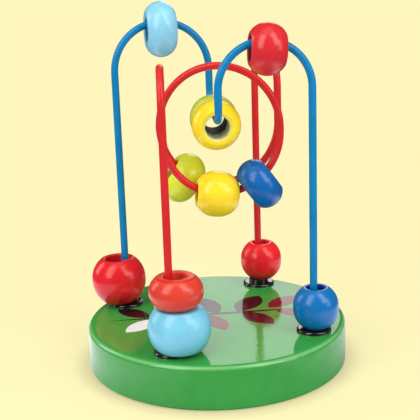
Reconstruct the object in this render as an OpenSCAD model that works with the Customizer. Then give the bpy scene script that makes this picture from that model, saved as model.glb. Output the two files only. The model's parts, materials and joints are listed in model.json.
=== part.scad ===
// Bead maze: a round wooden base, two bent wires and twelve drilled wooden beads.
// Millimetres. The origin is the centre of the underside, X runs along the blue wire's feet.

/* [Base] */
// Diameter of the base disc
base_d = 100; // [92:1:130]
// Thickness of the base disc
base_h = 16.4; // [14:0.2:30]
// Rounding of the upper edge
base_edge_r = 2; // [0.5:0.1:4]
// Rounding of the lower edge
base_foot_r = 0.8; // [0.2:0.1:2]

/* [Bushings] */
// Diameter of the flange that lies on the base
flange_d = 13; // [10:0.2:14]
// Thickness of the flange
flange_h = 1.2; // [1:0.1:3]
// Rounding of the flange's upper rim
flange_edge_r = 0.8; // [0.3:0.1:1]
// Diameter of the boss on the back foot's bushing, which carries its bead higher
boss_d = 8; // [6:0.2:9]
// Height of that boss over the flange
boss_h = 1.5; // [0.5:0.1:2]
// Diameter of the shank in the base
shank_d = 6; // [4.5:0.1:8]
// Length of the shank
shank_len = 9; // [4:0.5:10]

/* [Wires] */
// Diameter of the coated wire
wire_d = 2.8; // [2:0.1:3.2]
// Share of the base's diameter that the circle of the feet has
foot_share = 0.81; // [0.7:0.01:0.82]
// Depth of the wire ends in the base
wire_depth = 12; // [11:0.5:13]

/* [Blue wire] */
// Height of the left arch's springing over the base
left_leg_h = 94; // [90:0.5:120]
// Height of the right arch's springing over the base
right_leg_h = 91.2; // [90:0.2:120]
// Height of the valley's straight run over the base
valley_h = 80; // [70:0.5:81]
// Distance between the two strands of the valley
valley_len = 47.4; // [46:0.2:56]
// Bend radius at both ends of the valley
valley_bend_r = 6; // [5:0.5:7]
// Turn of the valley away from the Y axis
valley_turn = 30; // [20:1:40]
// Place of the valley's middle along X
valley_x = 0.5; // [-3:0.1:3]
// Place of the valley's middle along Y
valley_y = 2.3; // [-3:0.1:3]

/* [Red wire] */
// Place along X of the middle between the red feet
red_x = 0.3; // [-2:0.1:2]
// Place along Y of the middle between the red feet
red_y = 1.7; // [-2:0.1:2]
// Turn of the line of the red feet away from the Y axis
red_turn = 1; // [-3:0.5:3]
// Height of the narrow arches' springing over the base
red_leg_h = 88; // [80:0.5:110]
// Distance across the coil, between strand centres
coil_d = 43; // [38:0.5:46]
// Pitch of the coil
coil_pitch = 14; // [13:0.5:18]
// Turn of the coil's axis away from the Y axis
coil_turn = 26; // [15:1:35]
// Place of the coil's middle along X
coil_x = 4.1; // [0:0.1:6]
// Place of the coil's middle along Y
coil_y = 1.1; // [-3:0.1:3]
// How much further out than the others the coil's rear left strand stands
coil_left_out = 1.9; // [0:0.1:3]
// Height over the base of the level where the front pass begins
coil_front_h = 73.2; // [68:0.2:74]
// Height over the base of the level where the rear pass begins
coil_rear_h = 74.8; // [68:0.2:74.8]
// Height over the base of the level where the ring over both passes begins
coil_top_h = 75; // [75:0.2:80]

/* [Small balls] */
// Diameter of a small ball
small_d = 17; // [14:0.2:18]
// Height of a small ball between its flats
small_h = 15.4; // [13:0.2:15.4]
// Bore of a small ball
small_bore = 6.8; // [6:0.1:7]
// Radius of the round side of a small ball
small_side_r = 8.2; // [8:0.1:8.4]
// Height of the straight band round a small ball
small_band = 1.4; // [1:0.1:2]

/* [Valley balls] */
// Diameter of a ball in the valley
valley_ball_d = 18; // [16:0.2:18]
// Height of a ball in the valley between its flats
valley_ball_h = 14; // [12:0.2:14.4]
// Bore of a ball in the valley
valley_ball_bore = 9; // [7:0.1:9.2]
// Radius of the round side of a ball in the valley
valley_ball_side_r = 8.7; // [8.2:0.1:8.8]
// Height of the straight band round a ball in the valley
valley_ball_band = 1.1; // [1:0.1:2]

/* [Large ball] */
// Diameter of the large ball
large_d = 21.6; // [19:0.2:24]
// Height of the large ball between its flats
large_h = 17.8; // [16:0.2:18]
// Bore of the large ball
large_bore = 9.8; // [8:0.1:10]
// Radius of the round side of the large ball
large_side_r = 10.4; // [10:0.1:10.6]
// Height of the straight band round the large ball
large_band = 1; // [0.8:0.1:2]

/* [Front ball] */
// Diameter of the flattened ball
front_d = 22.8; // [20:0.2:24]
// Height of the flattened ball between its flats
front_h = 15.6; // [14:0.2:17]
// Bore of the flattened ball
front_bore = 9.6; // [8:0.1:10]
// Radius of the round side of the flattened ball
front_side_r = 11; // [9:0.1:11.2]

/* [Discs] */
// Diameter of a disc
disc_d = 19.6; // [18:0.2:20]
// Height of a disc between its flats
disc_h = 11.4; // [10:0.2:12]
// Bore of a disc
disc_bore = 8.4; // [7:0.1:9]
// Radius of the round side of a disc
disc_side_r = 6.6; // [6.4:0.1:9]

/* [Wide disc] */
// Diameter of the wide disc
wide_d = 21.2; // [20:0.2:22]
// Height of the wide disc between its flats
wide_h = 11.2; // [10:0.2:12]
// Bore of the wide disc
wide_bore = 8.8; // [7:0.1:9]
// Radius of the round side of the wide disc
wide_side_r = 6.2; // [6.2:0.1:9]

/* [Thick disc] */
// Diameter of the thick disc
thick_d = 18.6; // [18:0.2:20]
// Height of the thick disc between its flats
thick_h = 12.6; // [12:0.2:13]
// Bore of the thick disc
thick_bore = 9; // [7:0.1:9]
// Radius of the round side of the thick disc
thick_side_r = 7.4; // [7:0.1:9]

/* [Bead places] */
// Angle of the light blue bead from the left arch's top
sky_arch_turn = 0; // [-10:0.5:10]
// Angle of the red bead from the right arch's top
red_arch_turn = 4; // [-10:0.5:10]
// Angle of the yellow bead from the front pass's lowest point
yellow_coil_turn = -6.5; // [-12:0.5:-4]
// Angle of the blue bead from the front pass's lowest point
blue_coil_turn = 35.5; // [35:0.5:90]
// Angle of the lime bead from the rear pass's lowest point
lime_coil_turn = -36; // [-60:0.5:-35]
// Turn of the photo's right-hand direction, along which the foot beads lean
lean_turn = 26.5; // [0:0.5:90]
// How far the left foot's bead leans back along that direction
left_shift = 2.9; // [0:0.1:2.9]
// Tilt of the left foot's bead
left_tilt = 2; // [0:0.5:2]
// How far the front foot's lower bead leans along that direction
front_shift = 3.1; // [0:0.1:3.1]
// How far the front foot's upper bead leans along that direction
front_top_shift = 2.4; // [0:0.1:2.5]
// How far the back foot's bead leans along that direction
back_shift = 1.2; // [0:0.1:1.7]
// How far the right foot's bead leans along that direction
right_shift = 0.8; // [0:0.1:1.7]

/* [Fits] */
// Gap between a bead and what it rests or hangs on
touch_gap = 0.25; // [0.1:0.05:0.5]
// Radial clearance of the wire in its bushing and of the shank in the base
press_gap = 0.05; // [0.02:0.01:0.1]
// Rounding of the mouths of every bead's bore
mouth_r = 0.6; // [0.4:0.1:0.6]
// Rounding between a bead's side and its flats
bead_edge_r = 0.8; // [0.4:0.1:0.8]
// How much the wire thins all round where it is bent
bend_thin = 0.02; // [0.01:0.01:0.05]
// Length over which a straight stretch of wire runs on into a bend
bend_lap = 0.3; // [0.2:0.05:0.4]
// How much the small rounds of a bead stand over the faces they run into
blend = 0.01; // [0.005:0.005:0.02]

/* [Hidden] */
$fn = 72;

// A bead kind is its diameter, height, bore and side radius
small_ball = [small_d, small_h, small_bore, small_side_r, small_band];
valley_ball = [valley_ball_d, valley_ball_h, valley_ball_bore, valley_ball_side_r, valley_ball_band];
large_ball = [large_d, large_h, large_bore, large_side_r, large_band];
front_ball = [front_d, front_h, front_bore, front_side_r, 0];
disc = [disc_d, disc_h, disc_bore, disc_side_r, 0];
wide_disc = [wide_d, wide_h, wide_bore, wide_side_r, 0];
thick_disc = [thick_d, thick_h, thick_bore, thick_side_r, 0];

// Plan points of the strands
foot_r = base_d * foot_share / 2;
left_foot = [-foot_r, 0];
right_foot = [foot_r, 0];
red_mid = [red_x, red_y];
red_along = [-sin(red_turn), cos(red_turn)];
front_foot = red_mid - red_along * foot_r;
back_foot = red_mid + red_along * foot_r;

valley_mid = [valley_x, valley_y];
valley_along = [-sin(valley_turn), cos(valley_turn)];
valley_back = valley_mid + valley_along * valley_len / 2;
valley_front = valley_mid - valley_along * valley_len / 2;

coil_across = [cos(coil_turn), sin(coil_turn)];
coil_along = [-sin(coil_turn), cos(coil_turn)];
// Each strand of the coil lies a half turn further back than the one before
function coil_strand(side, half_turn) =
    [coil_x, coil_y] + side * coil_across * coil_d / 2 + half_turn * coil_along * coil_pitch / 2;
coil_in = coil_strand(-1, -1.5);
coil_right = coil_strand(1, -0.5);
coil_left = coil_strand(-1, 0.5) - coil_across * coil_left_out;
coil_out = coil_strand(1, 1.5);

// Levels
hole_z = base_h - wire_depth;
left_arch_z = base_h + left_leg_h;
right_arch_z = base_h + right_leg_h;
valley_z = base_h + valley_h;
red_arch_z = base_h + red_leg_h;
coil_front_z = base_h + coil_front_h;
coil_rear_z = base_h + coil_rear_h;
coil_top_z = base_h + coil_top_h;
seat_z = base_h + flange_h + touch_gap;

wire_bore = wire_d + 2 * press_gap;
bend_d = wire_d - 2 * bend_thin;
shank_hole_d = shank_d + 2 * press_gap;

function middle(p, q) = (p + q) / 2;
function hoop_r(p, q) = norm(q - p) / 2;
function heading(p, q) = atan2(q[1] - p[1], q[0] - p[0]);

// Bead outline: a round side, two flats, a small round between them, and rounded bore mouths
function bead_end(kind) = kind[1] / 2;
function side_x(kind) = kind[0] / 2 - kind[3];
function band_end(kind) = kind[4] / 2;
function edge_y(kind) = bead_end(kind) - bead_edge_r;
function edge_x(kind) = side_x(kind) + sqrt(pow(kind[3] - bead_edge_r, 2) - pow(edge_rise(kind), 2));
function edge_rise(kind) = edge_y(kind) - band_end(kind);
function edge_start(kind) = band_end(kind) + edge_rise(kind) * kind[3] / (kind[3] - bead_edge_r);
function mouth_x(kind) = kind[2] / 2 + mouth_r;
function mouth_y(kind) = bead_end(kind) - mouth_r;

// How far a bead hangs below its wire: on a straight or over an arch, or in a dip that rises at both mouths
function slack(kind) = (kind[2] - wire_d) / 2 - touch_gap;
function dip_rise(kind, r) = r - sqrt(r * r - pow(bead_end(kind), 2));
function dip_slack(kind, r) = slack(kind) - dip_rise(kind, r);

// Middles of the beads on the feet, over the bushings
left_bead_z = seat_z + bead_end(large_ball) + edge_x(large_ball) * sin(left_tilt);
front_bead_z = seat_z + bead_end(front_ball);
front_top_z = front_bead_z + bead_end(front_ball) + touch_gap + bead_end(disc);
back_bead_z = seat_z + boss_h + bead_end(small_ball);
right_bead_z = seat_z + bead_end(small_ball);

// The front valley bead stops where the front bend starts, and the rear one lies behind it
yellow_valley_s = valley_len / 2 - valley_bend_r - bead_end(valley_ball);
lime_valley_s = yellow_valley_s - 2 * bead_end(valley_ball) - touch_gap;

// Stands its children on a plan point at a level
module at_plan(p, z) {
    translate([p[0], p[1], z]) children();
}

// Turned disc outline, rounded at the upper and lower edge
module base_outline() {
    edge_x = base_d / 2 - base_edge_r;
    foot_x = base_d / 2 - base_foot_r;
    translate([0, base_foot_r]) square([base_d / 2, base_h - base_edge_r - base_foot_r]);
    translate([0, base_h - base_edge_r]) square([edge_x, base_edge_r]);
    square([foot_x, base_foot_r]);
    translate([edge_x, base_h - base_edge_r]) circle(base_edge_r);
    translate([foot_x, base_foot_r]) circle(base_foot_r);
}

// Stepped blind hole for a bushing's shank and the wire's end
module foot_hole(foot) {
    at_plan(foot, hole_z) cylinder(d = wire_bore, h = wire_depth + base_h);
    at_plan(foot, base_h - shank_len - press_gap) cylinder(d = shank_hole_d, h = shank_len + base_h);
}

module base() {
    color("forestgreen") difference() {
        rotate_extrude() base_outline();
        for (foot = [left_foot, right_foot, front_foot, back_foot]) foot_hole(foot);
    }
}

// Bushing outline: shank, and flange with a rounded rim
module bushing_outline() {
    rim = flange_d / 2 - flange_edge_r;
    translate([wire_bore / 2, -shank_len]) square([(shank_d - wire_bore) / 2, shank_len]);
    translate([wire_bore / 2, 0]) square([(flange_d - wire_bore) / 2, flange_h - flange_edge_r]);
    translate([wire_bore / 2, 0]) square([rim - wire_bore / 2, flange_h]);
    intersection() {
        translate([rim, flange_h - flange_edge_r]) circle(flange_edge_r);
        translate([rim, 0]) square([flange_edge_r, flange_h]);
    }
}

// Boss over the flange, for the back foot
module boss_outline() {
    translate([wire_bore / 2, 0]) square([(boss_d - wire_bore) / 2, flange_h + boss_h]);
}

module bushing(foot) {
    color("black") at_plan(foot, base_h) rotate_extrude() bushing_outline();
}

module left_bushing() {
    bushing(left_foot);
}

module right_bushing() {
    bushing(right_foot);
}

module front_bushing() {
    bushing(front_foot);
}

module back_bushing() {
    color("black") at_plan(back_foot, base_h) rotate_extrude() {
        bushing_outline();
        boss_outline();
    }
}

// Upright leg of wire from its hole in the base up into an arch
module leg(p, high) {
    at_plan(p, hole_z) cylinder(d = wire_d, h = high + bend_lap - hole_z);
}

// Upright stretch of wire between two bends
module strand(p, low, high) {
    at_plan(p, low - bend_lap) cylinder(d = wire_d, h = high - low + 2 * bend_lap);
}

// Part of a round bend in the upright plane from p to q, starting at p's end
module bend(center, z, turn, start, angle, r) {
    at_plan(center, z) rotate([90, 0, turn]) rotate(start)
        rotate_extrude(angle = angle) translate([r, 0]) circle(d = bend_d);
}

// Half circle of wire between two strands, over or under their level
module hoop(p, q, z, start) {
    bend(middle(p, q), z, heading(p, q), start, 180, hoop_r(p, q));
}

module arch(p, q, z) {
    hoop(p, q, z, 0);
}

module dip(p, q, z) {
    hoop(p, q, z, 180);
}

// Corner of the valley below strand p, turning towards q
module valley_corner(p, q) {
    towards = (q - p) / norm(q - p);
    bend(p + towards * valley_bend_r, valley_z + valley_bend_r, heading(p, q), 180, 90, valley_bend_r);
}

module blue_wire() {
    run = valley_len - 2 * valley_bend_r;
    color("dodgerblue") {
        leg(left_foot, left_arch_z);
        arch(left_foot, valley_back, left_arch_z);
        strand(valley_back, valley_z + valley_bend_r, left_arch_z);
        valley_corner(valley_back, valley_front);
        at_plan(valley_back, valley_z) rotate([0, 90, heading(valley_back, valley_front)])
            translate([0, 0, valley_bend_r - bend_lap]) cylinder(d = wire_d, h = run + 2 * bend_lap);
        valley_corner(valley_front, valley_back);
        strand(valley_front, valley_z + valley_bend_r, right_arch_z);
        arch(valley_front, right_foot, right_arch_z);
        leg(right_foot, right_arch_z);
    }
}

module red_wire() {
    color("crimson") {
        leg(front_foot, red_arch_z);
        arch(front_foot, coil_in, red_arch_z);
        strand(coil_in, coil_front_z, red_arch_z);
        dip(coil_in, coil_right, coil_front_z);
        strand(coil_right, coil_front_z, coil_top_z);
        arch(coil_right, coil_left, coil_top_z);
        strand(coil_left, coil_rear_z, coil_top_z);
        dip(coil_left, coil_out, coil_rear_z);
        strand(coil_out, coil_rear_z, red_arch_z);
        arch(coil_out, back_foot, red_arch_z);
        leg(back_foot, red_arch_z);
    }
}

// Upright strip of the bead outline between two distances from the axis
module strip(from_x, to_x, half) {
    translate([from_x, -half]) square([to_x - from_x, 2 * half]);
}

module bead_outline(kind) {
    bore_r = kind[2] / 2;
    // round side, with a straight band on the balls
    intersection() {
        union() {
            for (side = band_end(kind) > 0 ? [-1, 1] : [0]) {
                translate([side_x(kind), side * band_end(kind)]) circle(kind[3]);
            }
            if (band_end(kind) > 0) strip(0, kind[0] / 2 - blend, band_end(kind));
        }
        strip(mouth_x(kind), kind[0], edge_start(kind));
    }
    // body between the flats, and bore wall
    strip(mouth_x(kind), edge_x(kind), bead_end(kind));
    strip(bore_r, edge_x(kind), mouth_y(kind));
    // small rounds at the flats' edges and at the bore's mouths
    intersection() {
        for (side = [-1, 1]) {
            translate([edge_x(kind), side * edge_y(kind)]) circle(bead_edge_r + blend);
            translate([mouth_x(kind), side * mouth_y(kind)]) circle(mouth_r + blend);
        }
        strip(bore_r, kind[0], bead_end(kind));
    }
}

// Drilled bead around the Z axis
module bead(kind) {
    rotate_extrude() bead_outline(kind);
}

// Puts a bead on an arch, at an angle from its top
module on_arch(p, q, z, at, kind) {
    at_plan(middle(p, q), z) rotate([0, at, heading(p, q)])
        translate([0, 0, hoop_r(p, q) - slack(kind)]) rotate([0, 90, 0]) bead(kind);
}

// Puts a bead in a dip, at an angle from its lowest point
module in_dip(p, q, z, at, kind) {
    r = hoop_r(p, q);
    at_plan(middle(p, q), z) rotate([0, -at, heading(p, q)])
        translate([0, 0, -r - dip_slack(kind, r)]) rotate([0, 90, 0]) bead(kind);
}

// Puts a bead on the valley's straight run, at a distance from the run's middle towards the front
module on_run(s, kind) {
    at_plan(valley_mid, valley_z - slack(kind)) rotate([0, 90, heading(valley_back, valley_front)])
        translate([0, 0, s]) bead(kind);
}

// Puts a bead round a leg, leaning by a shift and a tilt
module on_leg(foot, z, shift, tilt, kind) {
    at_plan(foot + shift * [cos(lean_turn), sin(lean_turn)], z) rotate([0, tilt, lean_turn]) bead(kind);
}

module sky_arch_bead() {
    color("lightskyblue") on_arch(left_foot, valley_back, left_arch_z, sky_arch_turn, wide_disc);
}

module red_arch_bead() {
    color("red") on_arch(valley_front, right_foot, right_arch_z, red_arch_turn, thick_disc);
}

module lime_valley_bead() {
    color("yellowgreen") on_run(lime_valley_s, valley_ball);
}

module yellow_valley_bead() {
    color("gold") on_run(yellow_valley_s, valley_ball);
}

module lime_coil_bead() {
    color("yellowgreen") in_dip(coil_left, coil_out, coil_rear_z, lime_coil_turn, disc);
}

module yellow_coil_bead() {
    color("gold") in_dip(coil_in, coil_right, coil_front_z, yellow_coil_turn, small_ball);
}

module blue_coil_bead() {
    color("royalblue") in_dip(coil_in, coil_right, coil_front_z, blue_coil_turn, disc);
}

module red_left_bead() {
    color("red") on_leg(left_foot, left_bead_z, -left_shift, -left_tilt, large_ball);
}

module sky_front_bead() {
    color("lightskyblue") on_leg(front_foot, front_bead_z, front_shift, 0, front_ball);
}

module orange_front_bead() {
    color("orangered") on_leg(front_foot, front_top_z, front_top_shift, 0, disc);
}

module red_back_bead() {
    color("red") on_leg(back_foot, back_bead_z, back_shift, 0, small_ball);
}

module blue_right_bead() {
    color("royalblue") on_leg(right_foot, right_bead_z, right_shift, 0, small_ball);
}

base();
blue_wire();
red_wire();
left_bushing();
right_bushing();
front_bushing();
back_bushing();
sky_arch_bead();
red_arch_bead();
lime_valley_bead();
yellow_valley_bead();
lime_coil_bead();
yellow_coil_bead();
blue_coil_bead();
red_left_bead();
sky_front_bead();
orange_front_bead();
red_back_bead();
blue_right_bead();
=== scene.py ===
"""Looks of a small wooden bead maze: painted base and beads, coated wires, black bushings."""
import json
import math
import bpy
from mathutils import Matrix, Vector


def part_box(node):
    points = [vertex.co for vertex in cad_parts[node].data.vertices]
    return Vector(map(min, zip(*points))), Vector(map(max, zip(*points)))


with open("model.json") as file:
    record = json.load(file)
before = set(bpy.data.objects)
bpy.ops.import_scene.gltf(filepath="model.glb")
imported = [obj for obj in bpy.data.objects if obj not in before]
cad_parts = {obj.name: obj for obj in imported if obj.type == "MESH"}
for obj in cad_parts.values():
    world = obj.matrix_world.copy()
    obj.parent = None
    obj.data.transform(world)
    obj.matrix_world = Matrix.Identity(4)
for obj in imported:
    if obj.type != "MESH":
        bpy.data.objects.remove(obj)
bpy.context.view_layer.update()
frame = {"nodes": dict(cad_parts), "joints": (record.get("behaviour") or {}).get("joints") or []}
nodes = frame["nodes"]
scene = bpy.context.scene
scene.view_settings.view_transform = "Standard"

# The camera stands a little to the right of the front leg, at about an arm's length, and looks
# down at the toy through a long lens that is held slightly off level.
eye = Vector((0.1657, -0.3323, 0.1568))
aim = Vector((0, 0, 0.0594))
roll = -0.0324
ahead = (aim - eye).normalized()
right = ahead.cross(Vector((0, 0, 1))).normalized()
up = right.cross(ahead)
across = right * math.cos(roll) + up * math.sin(roll)
above = up * math.cos(roll) - right * math.sin(roll)
camera = bpy.data.objects.new("camera", bpy.data.cameras.new("camera"))
scene.collection.objects.link(camera)
scene.camera = camera
camera.matrix_world = Matrix((
    (across.x, above.x, -ahead.x, eye.x),
    (across.y, above.y, -ahead.y, eye.y),
    (across.z, above.z, -ahead.z, eye.z),
    (0, 0, 0, 1)))
camera.data.sensor_width = 36
camera.data.lens = 86.37
camera.data.shift_x = -0.0076
camera.data.shift_y = -0.0007
camera.data.clip_start = 0.01

# The studio is a pale yellow ground that runs into a backdrop of the same colour. The paint mirrors
# the backdrop only dimly, and the light that the room gives to the toy is a plain grey.
backdrop = (1.0, 0.92, 0.515, 1)
dim_backdrop = (0.100, 0.092, 0.0515, 1)
room_light = (0.54, 0.54, 0.54, 1)


def put(tree, kind, feeds=None, **settings):
    """Adds a shader node. Each feed is a value for an input, or the output that runs into it."""
    made = tree.nodes.new("ShaderNode" + kind)
    for setting, value in settings.items():
        setattr(made, setting, value)
    for socket, feed in (feeds or {}).items():
        if isinstance(feed, bpy.types.NodeSocket):
            tree.links.new(feed, made.inputs[socket])
        else:
            made.inputs[socket].default_value = feed
    return made


world = bpy.data.worlds.new("studio")
scene.world = world
world.use_nodes = True
tree = world.node_tree
ray = put(tree, "LightPath")
room = put(tree, "Mix", {
    "Factor": ray.outputs["Is Glossy Ray"], "A": room_light, "B": dim_backdrop}, data_type="RGBA")
looked_at = put(tree, "Math", {
    0: ray.outputs["Is Camera Ray"], 1: ray.outputs["Is Transmission Ray"]}, operation="MAXIMUM")
seen = put(tree, "Mix", {
    "Factor": looked_at.outputs["Value"], "A": room.outputs["Result"], "B": backdrop}, data_type="RGBA")
tree.links.new(seen.outputs["Result"], tree.nodes["Background"].inputs["Color"])

# The ground is a wide sheet of matt board in the backdrop's colour. It keeps a soft shadow close to
# the base, gives near-white light back to the toy, and fades into the backdrop away from the base.
ground_r = 1.6
ground_drop = 0.0003
bounce = (0.92, 0.90, 0.94, 1)
shadow_reach = 0.009
shadow_tone = 0.74
shadow_full = 0.45
shadow_gone = 0.95
lit_r = 0.06
faded_r = 0.24
lit_share = 0.34
board_share = 0.88
# size, reach and strength of the painted glow that the base's glossy side reflects
glow_patch_r = 0.10
glow_patch_end_r = 0.17
glow_patch_side = 0.1
glow_patch_shine = 1.9
bare_shine = 0.10


def ramp(tree, feed, stops):
    """Adds a colour ramp with the given places and colours, in order."""
    made = put(tree, "ValToRGB", {"Fac": feed})
    ends = made.color_ramp.elements
    ends[0].position, ends[0].color = stops[0]
    ends[1].position, ends[1].color = stops[-1]
    for position, colour in stops[1:-1]:
        ends.new(position).color = colour
    return made


bpy.ops.mesh.primitive_circle_add(
    vertices=96, radius=ground_r, fill_type="NGON", location=(0, 0, -ground_drop))
ground = bpy.context.object
ground.name = "ground"
board = bpy.data.materials.new("ground")
board.use_nodes = True
tree = board.node_tree
tree.nodes.remove(tree.nodes["Principled BSDF"])
ray = put(tree, "LightPath")
tone = put(tree, "Mix", {
    "Factor": ray.outputs["Is Camera Ray"], "A": bounce, "B": backdrop}, data_type="RGBA")
nook = put(tree, "AmbientOcclusion", {"Distance": shadow_reach})
shadow = put(tree, "MapRange", {
    "Value": nook.outputs["AO"], "From Min": shadow_full, "From Max": shadow_gone,
    "To Min": shadow_tone})
shaded = put(tree, "VectorMath", {
    0: tone.outputs["Result"], "Scale": shadow.outputs["Result"]}, operation="SCALE")
place = put(tree, "TexCoord")
radius = put(tree, "VectorMath", {0: place.outputs["Object"]}, operation="LENGTH")

# painted glow on the ground, left and right of the base, shows only in glossy rays, as painted reflections
# in the base's glossy side
beside = put(tree, "MapRange", {
    "Value": radius.outputs["Value"], "From Min": glow_patch_end_r, "From Max": glow_patch_r},
    interpolation_type="SMOOTHSTEP")
sideways = put(tree, "VectorMath", {
    0: place.outputs["Object"], 1: (right.x, right.y, 0)}, operation="DOT_PRODUCT")
spread = put(tree, "MapRange", {
    "Value": sideways.outputs["Value"], "From Min": -glow_patch_side, "From Max": glow_patch_side})
glow_patches = ramp(tree, spread.outputs["Result"], (
    (0.20, (1, 1, 1, 1)), (0.42, (0, 0, 0, 1)), (0.70, (0, 0, 0, 1)), (0.90, (0.9, 0.9, 0.9, 1))))
glow_patch = put(tree, "Math", {
    0: glow_patches.outputs["Color"], 1: beside.outputs["Result"]}, operation="MULTIPLY")
mirrored = put(tree, "Math", {
    0: glow_patch.outputs["Value"], 1: glow_patch_shine, 2: bare_shine}, operation="MULTIPLY_ADD")
strength = put(tree, "Mix", {
    "Factor": ray.outputs["Is Glossy Ray"], "A": 1, "B": mirrored.outputs["Value"]})

# close to the base a share of the ground is lit by the lamps, and holds the shadow
glow = put(tree, "Emission", {
    "Color": shaded.outputs["Vector"], "Strength": strength.outputs["Result"]})
matt_colour = put(tree, "VectorMath", {0: shaded.outputs["Vector"], "Scale": board_share}, operation="SCALE")
matt = put(tree, "BsdfDiffuse", {"Color": matt_colour.outputs["Vector"]})
near = put(tree, "MapRange", {
    "Value": radius.outputs["Value"], "From Min": faded_r, "From Max": lit_r, "To Max": lit_share},
    interpolation_type="SMOOTHSTEP")
both = put(tree, "MixShader", {
    "Fac": near.outputs["Result"], 1: glow.outputs["Emission"], 2: matt.outputs["BSDF"]})
tree.links.new(both.outputs["Shader"], tree.nodes["Material Output"].inputs["Surface"])
ground.data.materials.append(board)

# Two tall windows light the toy from the front, left and right, and one behind it shows in the
# glossy top of the base. Cards at both sides light the edges, and a soft lamp hangs overhead.
lamp_aim = Vector((0, 0, 0.05))
for name, spot, wide, tall, watts in (
        ("left_window", (-0.206, -0.617, 0.60), 0.42, 0.86, 3.9),
        ("right_window", (0.569, -0.158, 0.67), 0.34, 0.76, 3.0),
        ("rear_window", (-0.40, 1.12, 0.50), 0.36, 0.46, 0.94),
        ("left_card", (-0.80, -0.06, 0.34), 0.30, 0.50, 1.2),
        ("right_card", (0.78, 0.02, 0.30), 0.30, 0.50, 1.0),
        ("overhead", (0.05, -0.05, 1.05), 0.70, 0.70, 1.2)):
    lamp = bpy.data.objects.new(name, bpy.data.lights.new(name, "AREA"))
    scene.collection.objects.link(lamp)
    lamp.data.shape = "RECTANGLE"
    lamp.data.size = wide
    lamp.data.size_y = tall
    lamp.data.energy = watts
    lamp.location = spot
    lamp.rotation_euler = (lamp_aim - Vector(spot)).to_track_quat("-Z", "Y").to_euler()
    lamp.visible_camera = False

# The base is a thick disc turned from wood, with four holes for the wires' feet, in glossy green
# paint. Its top carries a printed branch with pointed leaves under the gloss, and a paler green
# along the rounded upper edge is a painted highlight.
mm = 0.001
base_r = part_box("base")[1].x
base_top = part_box("base")[1].z
green = (0.038, 0.312, 0.049, 1)
# paler green painted along the upper edge as a highlight
edge_highlight_green = (0.28, 0.60, 0.26, 1)
plum = (0.022, 0.006, 0.010, 1)
white = (0.85, 0.84, 0.82, 1)
rust = (0.16, 0.012, 0.018, 1)
print_depth = 0.1 * mm
print_blur = 0.1 * mm
branch_turn = math.radians(-26.5)
edge_highlight_width = 1.5 * mm
edge_highlight_core = 0.4 * mm
edge_highlight_share = 0.8
lacquer_rough = (0.18, 0.26)
base_rough = (0.06, 0.13)

# sprayed lacquer is a little uneven in tone and shine, and has a faint orange-peel skin
cloud_scale = 160
cloud_low = 0.3
cloud_high = 0.7
skin_scale = 520
skin_depth = 0.2 * mm
skin_share = 0.14
lacquer_tone = (0.93, 1.05)
lacquer = bpy.data.node_groups.new("lacquer", "ShaderNodeTree")
lacquer.interface.new_socket("Color", in_out="INPUT", socket_type="NodeSocketColor")
lacquer.interface.new_socket("Color", in_out="OUTPUT", socket_type="NodeSocketColor")
lacquer.interface.new_socket("Roughness", in_out="OUTPUT", socket_type="NodeSocketFloat")
lacquer.interface.new_socket("Normal", in_out="OUTPUT", socket_type="NodeSocketVector")
into = lacquer.nodes.new("NodeGroupInput")
out = lacquer.nodes.new("NodeGroupOutput")
place = put(lacquer, "TexCoord")
cloud = put(lacquer, "TexNoise", {"Vector": place.outputs["Object"], "Scale": cloud_scale, "Detail": 4})
skin = put(lacquer, "TexNoise", {"Vector": place.outputs["Object"], "Scale": skin_scale, "Detail": 2})
depth = put(lacquer, "MapRange", {
    "Value": cloud.outputs["Fac"], "From Min": cloud_low, "From Max": cloud_high,
    "To Min": lacquer_tone[0], "To Max": lacquer_tone[1]})
tinted = put(lacquer, "HueSaturation", {
    "Color": into.outputs["Color"], "Value": depth.outputs["Result"]})
rough = put(lacquer, "MapRange", {
    "Value": cloud.outputs["Fac"], "From Min": cloud_low, "From Max": cloud_high,
    "To Min": lacquer_rough[0], "To Max": lacquer_rough[1]})
peel = put(lacquer, "Bump", {
    "Height": skin.outputs["Fac"], "Strength": skin_share, "Distance": skin_depth})
lacquer.links.new(tinted.outputs["Color"], out.inputs["Color"])
lacquer.links.new(rough.outputs["Result"], out.inputs["Roughness"])
lacquer.links.new(peel.outputs["Normal"], out.inputs["Normal"])


def lacquered(name, colour, rough_by_lacquer=True):
    """Makes a lacquered material of one colour. A link into the coat's colour may take its place."""
    made = bpy.data.materials.new(name)
    made.use_nodes = True
    tree = made.node_tree
    bsdf = tree.nodes["Principled BSDF"]
    coat = put(tree, "Group", {"Color": colour}, node_tree=lacquer)
    tree.links.new(coat.outputs["Color"], bsdf.inputs["Base Color"])
    tree.links.new(coat.outputs["Normal"], bsdf.inputs["Normal"])
    if rough_by_lacquer:
        tree.links.new(coat.outputs["Roughness"], bsdf.inputs["Roughness"])
    return made, tree, bsdf, coat


def dress(node_name, material):
    """Gives a piece of the frame its only material."""
    nodes[node_name].data.materials.clear()
    nodes[node_name].data.materials.append(material)


# the base has a smoother coat than the other pieces, and mirrors them more clearly
base_paint, tree, bsdf, coat = lacquered("base_green", green, rough_by_lacquer=False)
mirror = put(tree, "MapRange", {
    "Value": coat.outputs["Roughness"], "From Min": lacquer_rough[0], "From Max": lacquer_rough[1],
    "To Min": base_rough[0], "To Max": base_rough[1]})
tree.links.new(mirror.outputs["Result"], bsdf.inputs["Roughness"])

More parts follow.
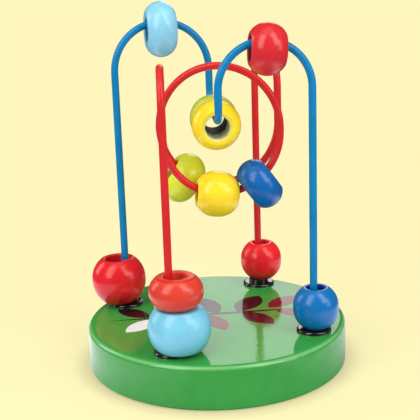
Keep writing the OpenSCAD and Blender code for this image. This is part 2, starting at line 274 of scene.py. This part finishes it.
# the branch is one long thin stem and eleven leaves, each with its place, length, width and tilt
place = put(tree, "TexCoord")
flat = put(tree, "VectorMath", {0: place.outputs["Object"], 1: (1, 1, 0)}, operation="MULTIPLY")
turn = put(tree, "VectorRotate", {"Vector": flat.outputs["Vector"], "Angle": branch_turn},
    rotation_type="Z_AXIS")
design = green
for across_mm, away_mm, long_mm, wide_mm, tilt, colour in (
        (-3, 2, 80, 2.4, 6, plum), (-33, 6, 17, 8, 140, plum), (-29, -8, 17, 8, -130, white),
        (-20, 9, 18, 8, 120, white), (-16, -6, 18, 9, -112, plum), (-3, 12, 20, 9, 110, plum),
        (0, -7, 18, 8, -68, rust), (13, 13, 20, 10, 62, plum), (16, -3.5, 18, 9, -50, plum),
        (27, 14, 18, 9, 48, rust), (31, 1, 17, 8, -28, rust), (38, 9, 12, 7, 25, plum)):
    # each half of the stem or of a leaf is a piece of a circle that meets the other half in two points
    bow = (long_mm * long_mm + wide_mm * wide_mm) / (4 * wide_mm) * mm
    leaf = put(tree, "Mapping", {
        "Vector": turn.outputs["Vector"], "Location": (across_mm * mm, away_mm * mm, 0),
        "Rotation": (0, 0, math.radians(tilt))}, vector_type="TEXTURE")
    fold = put(tree, "VectorMath", {0: leaf.outputs["Vector"]}, operation="ABSOLUTE")
    rise = put(tree, "VectorMath", {0: fold.outputs["Vector"], 1: (0, bow - wide_mm / 2 * mm, 0)})
    reach = put(tree, "VectorMath", {0: rise.outputs["Vector"]}, operation="LENGTH")
    edge = put(tree, "MapRange", {
        "Value": reach.outputs["Value"], "From Min": bow + print_blur, "From Max": bow - print_blur})
    layer = put(tree, "Mix", {
        "Factor": edge.outputs["Result"], "A": design, "B": colour}, data_type="RGBA")
    design = layer.outputs["Result"]
part = put(tree, "SeparateXYZ", {"Vector": place.outputs["Object"]})
level = put(tree, "Math", {0: part.outputs["Z"], 1: base_top - print_depth}, operation="GREATER_THAN")
printed = put(tree, "Mix", {
    "Factor": level.outputs["Value"], "A": green, "B": design}, data_type="RGBA")

# the painted highlight band is measured in the disc's section, from its upper corner
from_axis = put(tree, "VectorMath", {0: flat.outputs["Vector"]}, operation="LENGTH")
section = put(tree, "CombineXYZ", {"X": from_axis.outputs["Value"], "Y": part.outputs["Z"]})
from_edge = put(tree, "VectorMath", {
    0: section.outputs["Vector"], 1: (base_r, base_top, 0)}, operation="DISTANCE")
# the painted highlight is strongest at the upper corner and fades within a millimetre and a half
edge_highlight_mask = put(tree, "MapRange", {
    "Value": from_edge.outputs["Value"], "From Min": edge_highlight_width, "From Max": edge_highlight_core,
    "To Max": edge_highlight_share}, interpolation_type="SMOOTHSTEP")
edge_highlighted = put(tree, "Mix", {
    "Factor": edge_highlight_mask.outputs["Result"], "A": printed.outputs["Result"], "B": edge_highlight_green},
    data_type="RGBA")
tree.links.new(edge_highlighted.outputs["Result"], coat.inputs["Color"])
dress("base", base_paint)

# The bushings are rings of glossy black plastic with a flange, one at each foot of the wires.
# Each is pushed into its hole in the base until the flange lies on the top, and holds its wire.
black = (0.008, 0.008, 0.009, 1)
bushing_rough = 0.07
bushing_gloss = 0.7
bushing_plastic, tree, bsdf, coat = lacquered("bushing_black", black, rough_by_lacquer=False)
bsdf.inputs["Roughness"].default_value = bushing_rough
bsdf.inputs["Coat Weight"].default_value = bushing_gloss
for name in ("left_bushing", "right_bushing", "front_bushing", "back_bushing"):
    dress(name, bushing_plastic)

# The two wires are bent steel rods with a glossy coloured coating: blue with two arches and a
# valley, red with two narrow arches and a coil. Their ends stand in the bushings.
wire_mirror = 0.3
for name, colour in (("blue", (0.001, 0.205, 0.45, 1)), ("red", (0.64, 0.019, 0.022, 1))):
    coating, tree, bsdf, coat = lacquered("wire_" + name, colour)
    bsdf.inputs["Specular IOR Level"].default_value = wire_mirror
    dress(name + "_wire", coating)

# The twelve beads are turned from wood, drilled through and sprayed with glossy paint.
# Each is threaded loosely on its wire: two on the arches, two in the valley, three on the coil
# and five at the feet. Inside the bores the paint is duller, and the walls carry painted shade, mostly
# darker than the bead, and in the yellow valley and orange front beads painted light, paler.
bore_start = 0.40 * mm
bore_full = 0.12 * mm
bore_dullness = 0.45
# each row: the bead, its paint, and the painted shade or painted light of its bore wall
for name, colour, bore_shading in (
        ("sky_arch_bead", (0.25, 0.60, 0.78, 1), (0.03, 0.20, 0.32, 1)),
        ("red_arch_bead", (0.64, 0.019, 0.026, 1), (0.20, 0.004, 0.006, 1)),
        ("lime_valley_bead", (0.60, 0.68, 0.06, 1), (0.08, 0.08, 0.03, 1)),
        ("yellow_valley_bead", (0.99, 0.76, 0.020, 1), (0.88, 0.88, 0.45, 1)),
        ("lime_coil_bead", (0.72, 0.80, 0.040, 1), (0.35, 0.38, 0.03, 1)),
        ("yellow_coil_bead", (0.99, 0.71, 0.018, 1), (0.60, 0.36, 0.01, 1)),
        ("blue_coil_bead", (0.001, 0.120, 0.40, 1), (0.002, 0.02, 0.12, 1)),
        ("red_left_bead", (0.74, 0.010, 0.016, 1), (0.62, 0.010, 0.018, 1)),
        ("sky_front_bead", (0.19, 0.56, 0.73, 1), (0.08, 0.36, 0.52, 1)),
        ("orange_front_bead", (0.67, 0.045, 0.022, 1), (0.80, 0.045, 0.026, 1)),
        ("red_back_bead", (0.86, 0.012, 0.020, 1), (0.84, 0.014, 0.024, 1)),
        ("blue_right_bead", (0.001, 0.148, 0.43, 1), (0.008, 0.03, 0.36, 1))):
    # a bore runs along the wire: up a leg, along the valley, or along the bend of an arch or the coil
    low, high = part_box(name)
    middle = (low + high) / 2
    slide = next(joint for joint in frame["joints"] if joint["child"] == name)
    along = Vector(slide["axis"])
    if slide["type"] == "hinge":
        along = along.cross(middle - Vector(slide["pos_m"])).normalized()
    bore_r = min((corner.co - middle).cross(along).length for corner in nodes[name].data.vertices)

    paint, tree, bsdf, coat = lacquered(name, colour, rough_by_lacquer=False)
    place = put(tree, "TexCoord")
    arm = put(tree, "VectorMath", {0: place.outputs["Object"], 1: middle}, operation="SUBTRACT")
    off = put(tree, "VectorMath", {0: arm.outputs["Vector"], 1: along}, operation="CROSS_PRODUCT")
    reach = put(tree, "VectorMath", {0: off.outputs["Vector"]}, operation="LENGTH")
    inside = put(tree, "MapRange", {
        "Value": reach.outputs["Value"], "From Min": bore_r + bore_start, "From Max": bore_r + bore_full})
    # inside the bore the colour turns to the painted shade or painted light of the bore wall
    coloured = put(tree, "Mix", {
        "Factor": inside.outputs["Result"], "A": colour, "B": bore_shading}, data_type="RGBA")
    tree.links.new(coloured.outputs["Result"], coat.inputs["Color"])
    dulled = put(tree, "Math", {
        0: inside.outputs["Result"], 1: bore_dullness, 2: coat.outputs["Roughness"]},
        operation="MULTIPLY_ADD")
    tree.links.new(dulled.outputs["Value"], bsdf.inputs["Roughness"])
    dress(name, paint)

    if name == "orange_front_bead":
        # round the hole of the flat bead a dark ring is painted shade where a shallow recess would be, with
        # a painted highlight band just outside it
        share = put(tree, "Math", {
            0: reach.outputs["Value"], 1: (high.x - low.x) / 2}, operation="DIVIDE")
        ring_shade_and_highlight = ramp(tree, share.outputs["Value"], (
            (0.60, colour), (0.70, (0.57, 0.021, 0.010, 1)), (0.76, (0.75, 0.055, 0.028, 1)),
            (0.84, colour)))
        tree.links.new(ring_shade_and_highlight.outputs["Color"], coloured.inputs["A"])
